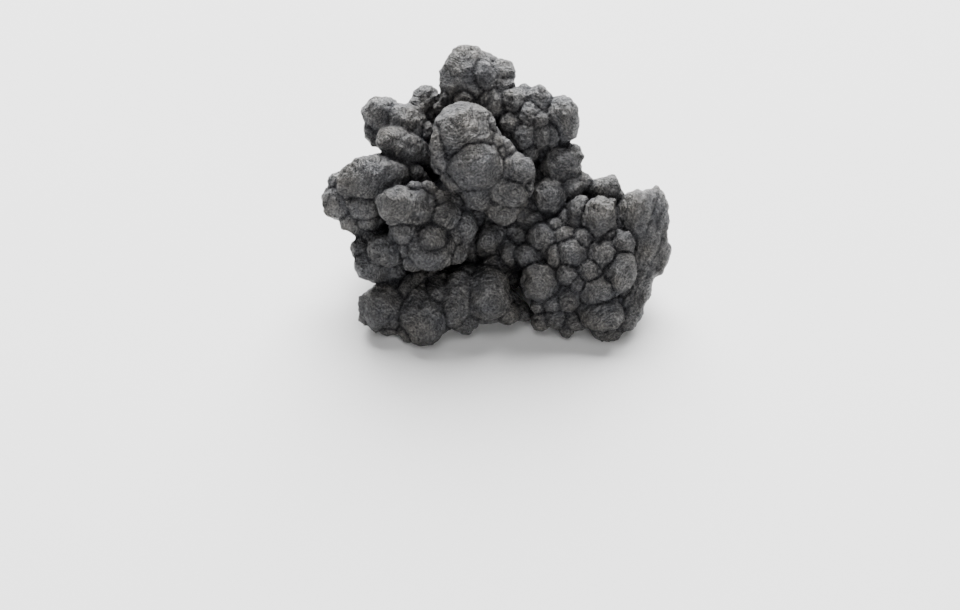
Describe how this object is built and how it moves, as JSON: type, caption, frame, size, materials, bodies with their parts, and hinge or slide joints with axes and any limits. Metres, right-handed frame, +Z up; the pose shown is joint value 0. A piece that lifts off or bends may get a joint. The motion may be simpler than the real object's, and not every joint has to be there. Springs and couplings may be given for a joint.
{
  "type": "lead nodule cluster",
  "caption": "Dark grey cluster of rounded lead nodules, grown together into one lobed, knobbly piece that stands on the flats of its lowest nodules.",
  "frame": {"origin": "under the middle of the cluster's box, on the surface it rests on", "axes": "+Z up, +X to the right and +Y away from the side that is seen in the picture"},
  "size_m": [0.0374, 0.025, 0.0243],
  "materials": {
    "oxidised_lead": "dull dark grey oxidised lead with a faint metallic sheen and a fine scaly grain"
  },
  "bodies": {
    "root": {"lead_cluster": "oxidised_lead"}
  },
  "joints": []
}
